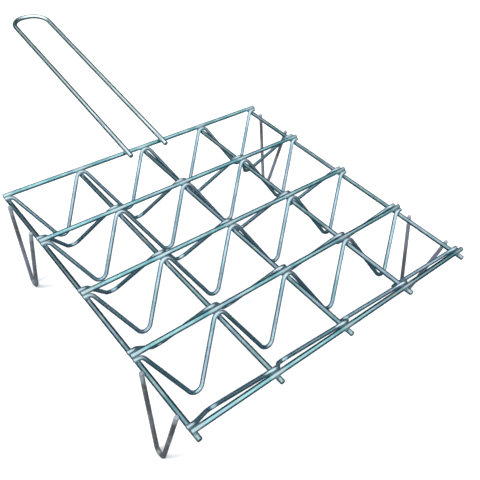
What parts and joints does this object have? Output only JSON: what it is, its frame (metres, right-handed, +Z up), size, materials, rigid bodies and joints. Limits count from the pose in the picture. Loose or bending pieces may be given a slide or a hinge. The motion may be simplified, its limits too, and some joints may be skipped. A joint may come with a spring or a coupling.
{
  "type": "grill basket",
  "caption": "Welded wire grill basket: square grid of open V-wire pockets for upright vegetables, on four V legs, with a long sloping loop handle.",
  "frame": {"origin": "middle of the whole part's footprint, on the surface its feet stand on", "axes": "+Z up, +Y along the handle away from the grid, +X across, along the cross wires"},
  "size_m": [0.353, 0.6564, 0.1511],
  "materials": {
    "grid_wire": "bright zinc plate with a pale blue passivation",
    "pocket_wire": "bright zinc plate with a pale blue passivation",
    "leg_wire": "bright zinc plate, greyer",
    "handle_wire": "bright zinc plate with a pale blue passivation"
  },
  "bodies": {
    "basket": {"cross_wire_0": "grid_wire", "cross_wire_1": "grid_wire", "cross_wire_2": "grid_wire", "cross_wire_3": "grid_wire", "cross_wire_4": "grid_wire", "side_rail_left": "grid_wire", "long_wire_1": "grid_wire", "long_wire_2": "grid_wire", "long_wire_3": "grid_wire", "side_rail_right": "grid_wire", "pocket_wire_0_back": "pocket_wire", "pocket_wire_0_front": "pocket_wire", "pocket_wire_1_back": "pocket_wire", "pocket_wire_1_front": "pocket_wire", "pocket_wire_2_back": "pocket_wire", "pocket_wire_2_front": "pocket_wire", "pocket_wire_3_back": "pocket_wire", "pocket_wire_3_front": "pocket_wire", "leg_back_left": "leg_wire", "leg_back_right": "leg_wire", "leg_front_left": "leg_wire", "leg_front_right": "leg_wire", "handle_loop": "handle_wire"}
  },
  "joints": []
}
